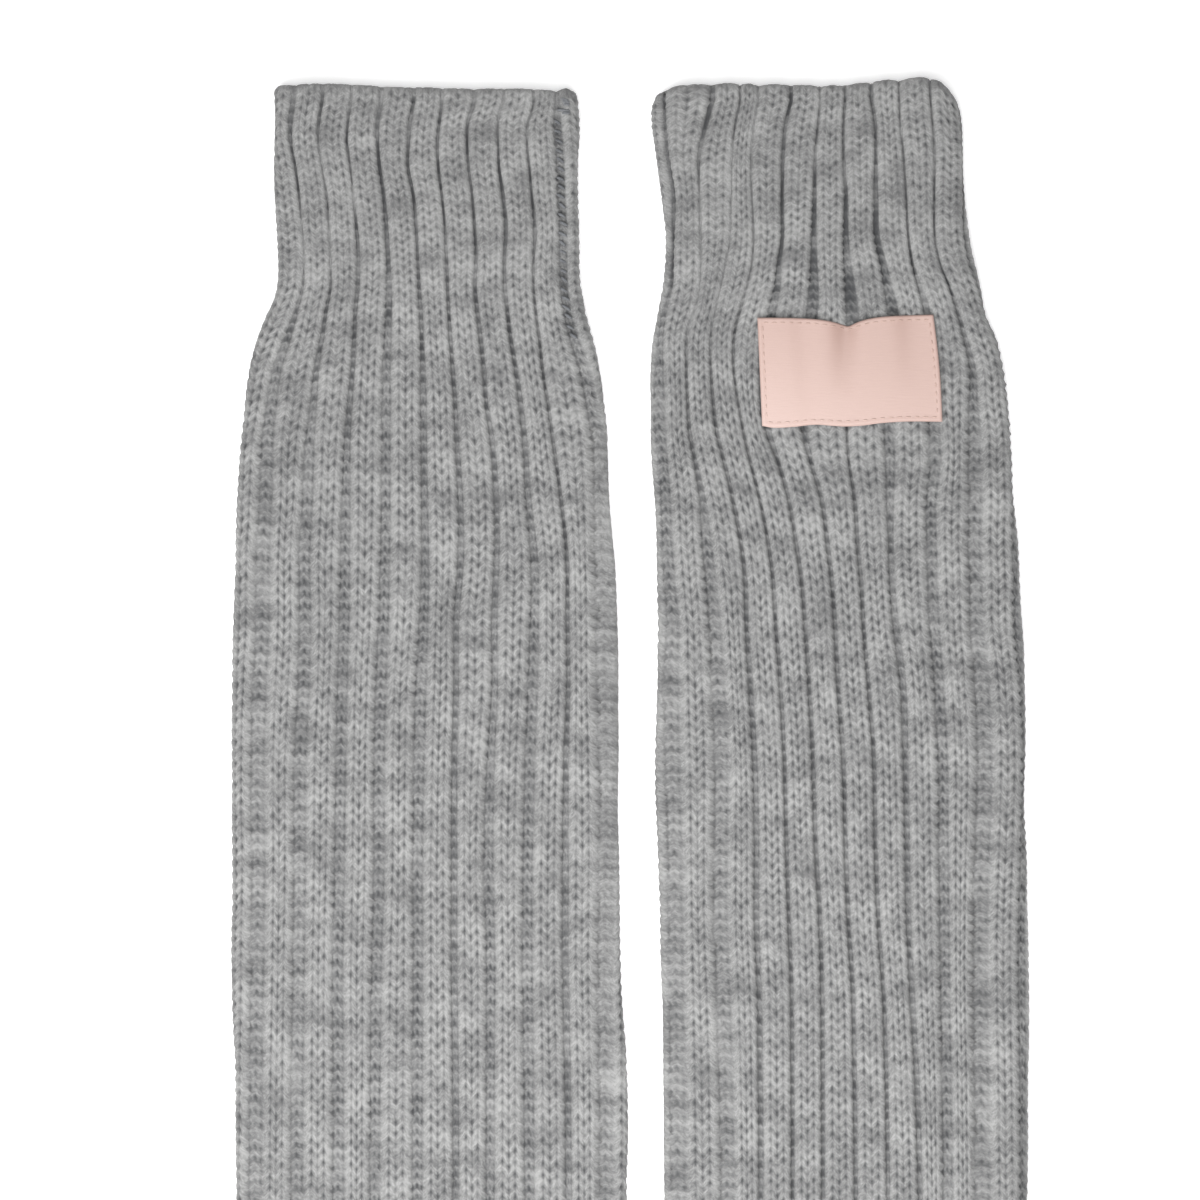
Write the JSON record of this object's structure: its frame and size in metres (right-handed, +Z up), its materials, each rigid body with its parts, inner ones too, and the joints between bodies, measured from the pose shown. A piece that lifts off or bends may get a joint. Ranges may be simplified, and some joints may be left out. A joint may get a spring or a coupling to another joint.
{
  "type": "pair of leg warmers",
  "caption": "Pair of ribbed knit leg warmers laid flat side by side, each with a narrow doubled cuff, one with a bare sewn label.",
  "frame": {"origin": "middle of the pair on the surface that it lies on", "axes": "+X from the left leg warmer to the right one, +Y along the legs towards the cuffs, +Z up from the surface"},
  "size_m": [0.2158, 0.434, 0.0085],
  "materials": {
    "knit": "grey heather 2 by 1 rib knit, matt and slightly hairy",
    "satin": "pale pink woven satin, soft sheen"
  },
  "bodies": {
    "root": {"left_cuff": "knit", "left_leg": "knit", "right_cuff": "knit", "right_leg": "knit", "label": "satin"}
  },
  "joints": []
}
